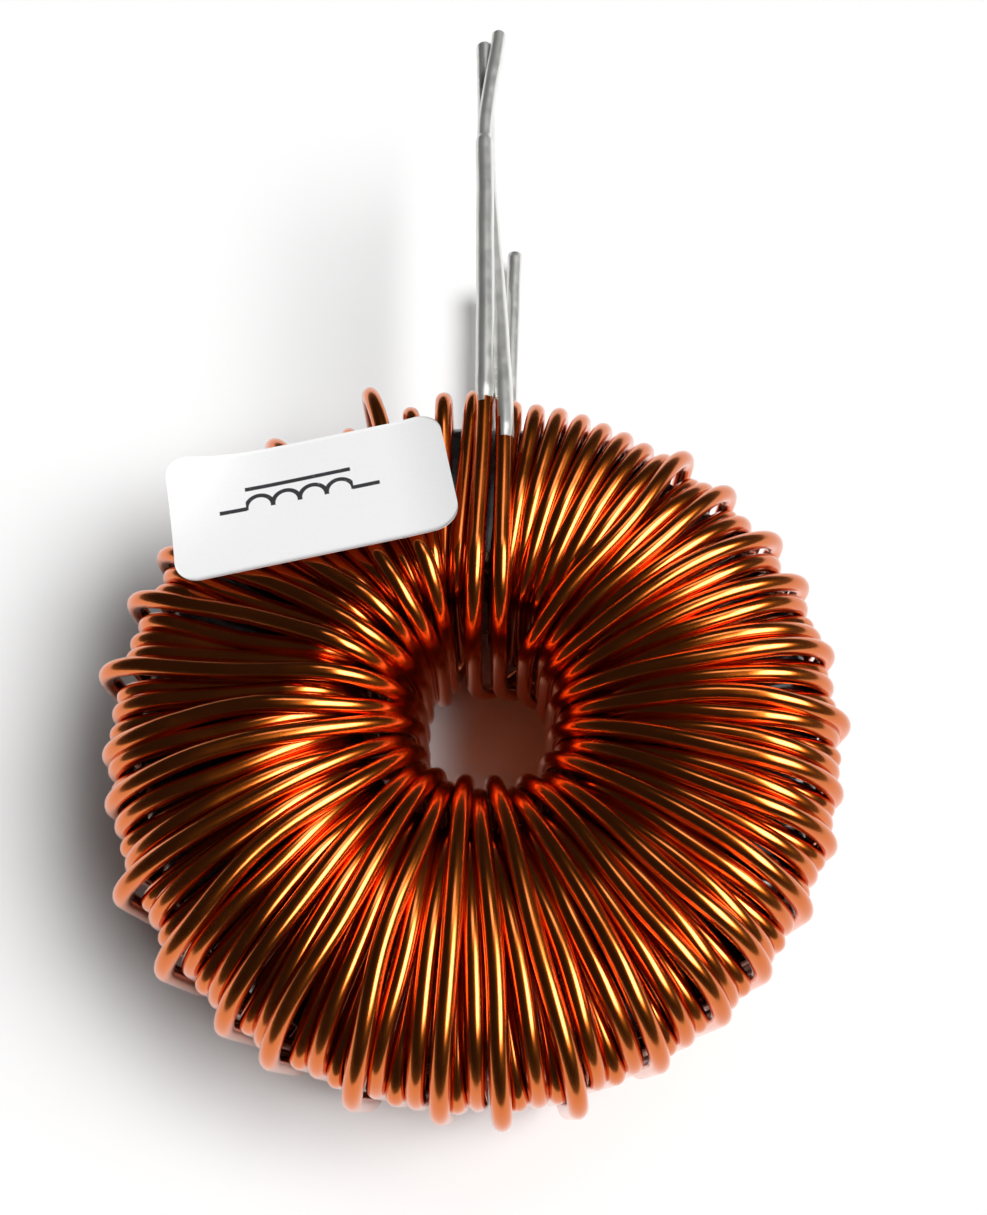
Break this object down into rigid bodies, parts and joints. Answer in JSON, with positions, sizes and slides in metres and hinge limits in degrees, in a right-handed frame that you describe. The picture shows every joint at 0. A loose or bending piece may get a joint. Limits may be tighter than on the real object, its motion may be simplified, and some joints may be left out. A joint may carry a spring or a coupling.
{
  "type": "toroidal inductor",
  "caption": "Toroidal inductor: black coated powder ring wound with paired enamelled copper wires, with long tinned leads and a blank paper label.",
  "frame": {"origin": "On the ring's axis, in the plane that the lowest wires rest on.", "axes": "+Z is the ring's axis, pointing up out of the face with the label. +Y is the direction in which all the leads leave. +X follows from these two."},
  "size_m": [0.0629, 0.108, 0.0261],
  "materials": {
    "core_coating": "glossy black epoxy coating on a pressed powder ring",
    "enamelled_copper": "copper wire under glossy amber enamel, bare tinned ends",
    "label_paper": "matt white paper"
  },
  "bodies": {
    "root": {"core": "core_coating", "winding_strand_a": "enamelled_copper", "winding_strand_b": "enamelled_copper", "label": "label_paper"}
  },
  "joints": []
}
